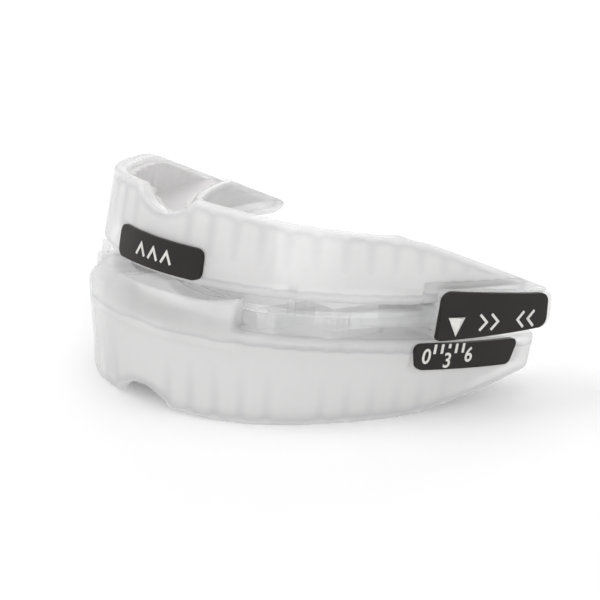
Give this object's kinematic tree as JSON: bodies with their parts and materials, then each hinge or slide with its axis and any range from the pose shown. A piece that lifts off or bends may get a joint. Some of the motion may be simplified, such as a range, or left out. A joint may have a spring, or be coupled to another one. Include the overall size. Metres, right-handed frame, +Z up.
{
  "type": "adjustable dental mouthpiece",
  "caption": "Clear two-tray jaw-advancement mouthpiece: upper and lower bite trays with soft frosted linings, joined by a ratcheted slide with squeeze-release pads and a millimetre scale.",
  "frame": {"origin": "on the resting plane, under the middle of the whole mouthpiece's bounding box", "axes": "-Y towards the front of the mouth, +X towards the wearer's left, +Z up towards the upper jaw; the trays lean back 6.8 degrees from level as they stand on the lower rims"},
  "size_m": [0.0664, 0.0454, 0.0281],
  "materials": {
    "clear_shell": "clear polished copolyester",
    "frosted_lining": "translucent frosted EVA",
    "black_plate": "satin black with raised pale marks"
  },
  "bodies": {
    "lower_tray": {"lower_shell": "clear_shell", "lower_liner": "frosted_lining", "guide_rail_left": "clear_shell", "guide_rail_right": "clear_shell", "scale_plate_left": "black_plate", "scale_plate_right": "black_plate"},
    "upper_tray": {"upper_shell": "clear_shell", "upper_liner": "frosted_lining", "front_plate": "black_plate", "slide_track_left": "clear_shell", "slide_track_right": "clear_shell", "stop_peg_left": "clear_shell", "stop_peg_right": "clear_shell"},
    "lever_left": {"release_lever_left": "clear_shell", "squeeze_plate_left": "black_plate"},
    "lever_right": {"release_lever_right": "clear_shell", "squeeze_plate_right": "black_plate"}
  },
  "joints": [
    {"name": "jaw_advance", "type": "slide", "parent": "lower_tray", "child": "upper_tray", "axis": [0, 0.993, -0.1184], "range_m": [-0.003, 0.003]},
    {"name": "squeeze_left", "type": "hinge", "parent": "upper_tray", "child": "lever_left", "pos_m": [0.02698, 0.00524, 0.01213], "axis": [0, 0.1184, 0.993], "range_deg": [0, 3.2], "stiffness_Nm_per_rad": 0.3},
    {"name": "squeeze_right", "type": "hinge", "parent": "upper_tray", "child": "lever_right", "pos_m": [-0.02698, 0.00524, 0.01213], "axis": [0, -0.1184, -0.993], "range_deg": [0, 3.2], "stiffness_Nm_per_rad": 0.3}
  ]
}
